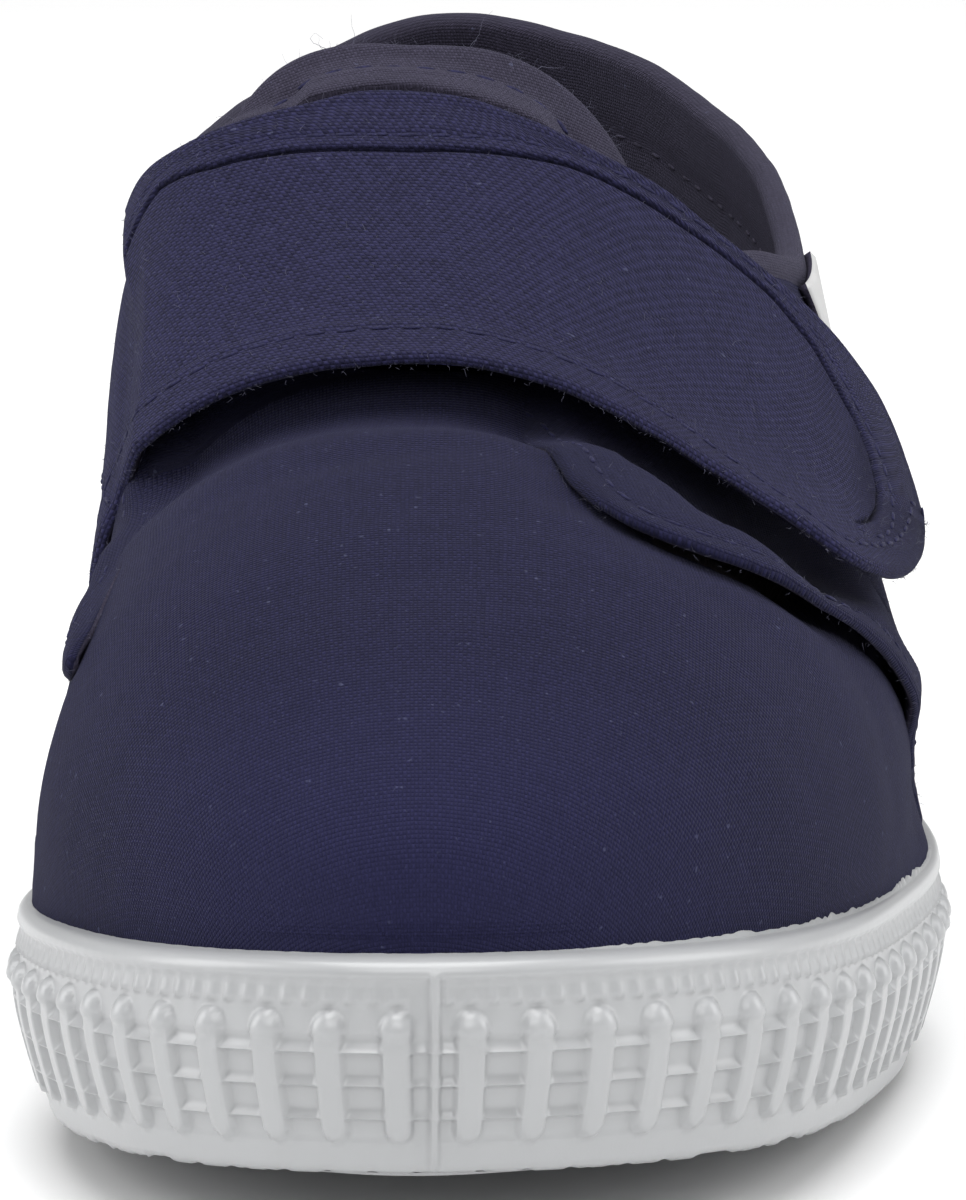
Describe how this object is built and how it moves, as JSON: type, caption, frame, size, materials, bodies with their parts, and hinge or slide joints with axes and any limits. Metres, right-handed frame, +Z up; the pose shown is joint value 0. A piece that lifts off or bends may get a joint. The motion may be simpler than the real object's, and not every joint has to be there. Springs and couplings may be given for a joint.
{
  "type": "child's hook-and-loop strap shoe",
  "caption": "Child's low canvas shoe for the left foot, with one broad cloth strap over the instep and a moulded rubber sole.",
  "frame": {"origin": "On the floor, under the middle of the shoe's plan box.", "axes": "+X to the wearer's left, the shoe's outer side. +Y to the heel, so the toe points along -Y. +Z up. The floor is Z = 0."},
  "size_m": [0.0702, 0.172, 0.0728],
  "materials": {
    "canvas": "plain-woven cotton canvas, dyed navy, with a soft fuzz",
    "sole_rubber": "matt moulded white rubber, slightly greyed by wear",
    "lining": "brown-black woven lining cloth",
    "label": "bare grey-white flexible label, no print",
    "closure": "dark hook-and-loop tape"
  },
  "bodies": {
    "root": {"outsole": "sole_rubber", "insole": "lining", "upper": "canvas", "tongue": "canvas", "strap": "canvas", "loop_pad": "closure", "hook_pad": "closure", "side_label": "label"}
  },
  "joints": []
}
